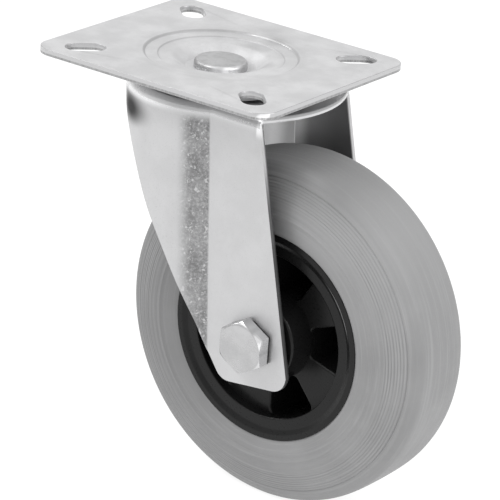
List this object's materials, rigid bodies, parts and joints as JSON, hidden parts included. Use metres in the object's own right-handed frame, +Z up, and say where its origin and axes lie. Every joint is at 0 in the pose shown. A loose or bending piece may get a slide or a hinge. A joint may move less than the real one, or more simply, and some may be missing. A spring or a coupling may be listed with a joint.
{
  "type": "swivel castor wheel",
  "caption": "Swivel castor: slotted rectangular top plate, pressed-steel offset fork on a double ball race, grey rubber tyre on a black plastic centre, roller-bearing axle bolt.",
  "frame": {"origin": "middle of the mounting plate's flat top face, on the swivel axis", "axes": "+Z up out of the plate's top face, +X along the plate's long side towards the trailing wheel at rest, +Y along the axle from the bolt head to the nut"},
  "size_m": [0.1522, 0.085, 0.1518],
  "materials": {
    "zinc_plate": "zinc plated, satin",
    "zinc_fork": "zinc plated, satin",
    "kingpin_steel": "zinc plated",
    "race_steel": "hardened, lightly oiled",
    "bearing_steel": "polished",
    "bright_bolt": "bright zinc",
    "bright_nut": "bright zinc",
    "nylon": "translucent white",
    "tube_steel": "drawn",
    "cage_plastic": "natural polyamide",
    "black_plastic": "semi-gloss moulding",
    "grey_rubber": "matt, non-marking grey"
  },
  "bodies": {
    "plate": {"mounting_plate": "zinc_plate", "kingpin": "kingpin_steel", "upper_race_cup": "race_steel", "lower_race_cup": "race_steel"},
    "upper_ball_set": {"upper_balls": "bearing_steel"},
    "lower_ball_set": {"lower_balls": "bearing_steel"},
    "fork": {"swivel_fork": "zinc_fork", "axle_bolt": "bright_bolt", "axle_nut": "bright_nut", "nut_nylon_ring": "nylon", "axle_tube": "tube_steel"},
    "wheel": {"wheel_centre": "black_plastic", "tyre": "grey_rubber"},
    "cage": {"roller_cage": "cage_plastic"},
    "roller_01_body": {"roller_01": "bearing_steel"},
    "roller_02_body": {"roller_02": "bearing_steel"},
    "roller_03_body": {"roller_03": "bearing_steel"},
    "roller_04_body": {"roller_04": "bearing_steel"},
    "roller_05_body": {"roller_05": "bearing_steel"},
    "roller_06_body": {"roller_06": "bearing_steel"},
    "roller_07_body": {"roller_07": "bearing_steel"},
    "roller_08_body": {"roller_08": "bearing_steel"},
    "roller_09_body": {"roller_09": "bearing_steel"},
    "roller_10_body": {"roller_10": "bearing_steel"}
  },
  "joints": [
    {"name": "fork_swivel", "type": "hinge", "parent": "plate", "child": "fork", "pos_m": [0, 0, 0], "axis": [0, 0, 1], "continuous": true},
    {"name": "upper_ball_orbit", "type": "hinge", "parent": "plate", "child": "upper_ball_set", "pos_m": [0, 0, 0], "axis": [0, 0, 1], "continuous": true},
    {"name": "lower_ball_orbit", "type": "hinge", "parent": "plate", "child": "lower_ball_set", "pos_m": [0, 0, 0], "axis": [0, 0, 1], "continuous": true},
    {"name": "wheel_spin", "type": "hinge", "parent": "fork", "child": "wheel", "pos_m": [0.0397, 0, -0.0893], "axis": [0, 1, 0], "continuous": true},
    {"name": "cage_spin", "type": "hinge", "parent": "fork", "child": "cage", "pos_m": [0.0397, 0, -0.0893], "axis": [0, 1, 0], "continuous": true},
    {"name": "roller_01_spin", "type": "hinge", "parent": "cage", "child": "roller_01_body", "pos_m": [0.04882, 0, -0.0893], "axis": [0, 1, 0], "continuous": true},
    {"name": "roller_02_spin", "type": "hinge", "parent": "cage", "child": "roller_02_body", "pos_m": [0.04708, 0, -0.08394], "axis": [0, 1, 0], "continuous": true},
    {"name": "roller_03_spin", "type": "hinge", "parent": "cage", "child": "roller_03_body", "pos_m": [0.04252, 0, -0.08063], "axis": [0, 1, 0], "continuous": true},
    {"name": "roller_04_spin", "type": "hinge", "parent": "cage", "child": "roller_04_body", "pos_m": [0.03688, 0, -0.08063], "axis": [0, 1, 0], "continuous": true},
    {"name": "roller_05_spin", "type": "hinge", "parent": "cage", "child": "roller_05_body", "pos_m": [0.03232, 0, -0.08394], "axis": [0, 1, 0], "continuous": true},
    {"name": "roller_06_spin", "type": "hinge", "parent": "cage", "child": "roller_06_body", "pos_m": [0.03058, 0, -0.0893], "axis": [0, 1, 0], "continuous": true},
    {"name": "roller_07_spin", "type": "hinge", "parent": "cage", "child": "roller_07_body", "pos_m": [0.03232, 0, -0.09466], "axis": [0, 1, 0], "continuous": true},
    {"name": "roller_08_spin", "type": "hinge", "parent": "cage", "child": "roller_08_body", "pos_m": [0.03688, 0, -0.09797], "axis": [0, 1, 0], "continuous": true},
    {"name": "roller_09_spin", "type": "hinge", "parent": "cage", "child": "roller_09_body", "pos_m": [0.04252, 0, -0.09797], "axis": [0, 1, 0], "continuous": true},
    {"name": "roller_10_spin", "type": "hinge", "parent": "cage", "child": "roller_10_body", "pos_m": [0.04708, 0, -0.09466], "axis": [0, 1, 0], "continuous": true}
  ],
  "couplings": [
    {"joint": "upper_ball_orbit", "follows": "fork_swivel", "ratio": 0.5},
    {"joint": "lower_ball_orbit", "follows": "fork_swivel", "ratio": 0.5},
    {"joint": "cage_spin", "follows": "wheel_spin", "ratio": 0.58882},
    {"joint": "roller_01_spin", "follows": "wheel_spin", "ratio": 2.7601},
    {"joint": "roller_02_spin", "follows": "wheel_spin", "ratio": 2.7601},
    {"joint": "roller_03_spin", "follows": "wheel_spin", "ratio": 2.7601},
    {"joint": "roller_04_spin", "follows": "wheel_spin", "ratio": 2.7601},
    {"joint": "roller_05_spin", "follows": "wheel_spin", "ratio": 2.7601},
    {"joint": "roller_06_spin", "follows": "wheel_spin", "ratio": 2.7601},
    {"joint": "roller_07_spin", "follows": "wheel_spin", "ratio": 2.7601},
    {"joint": "roller_08_spin", "follows": "wheel_spin", "ratio": 2.7601},
    {"joint": "roller_09_spin", "follows": "wheel_spin", "ratio": 2.7601},
    {"joint": "roller_10_spin", "follows": "wheel_spin", "ratio": 2.7601}
  ]
}
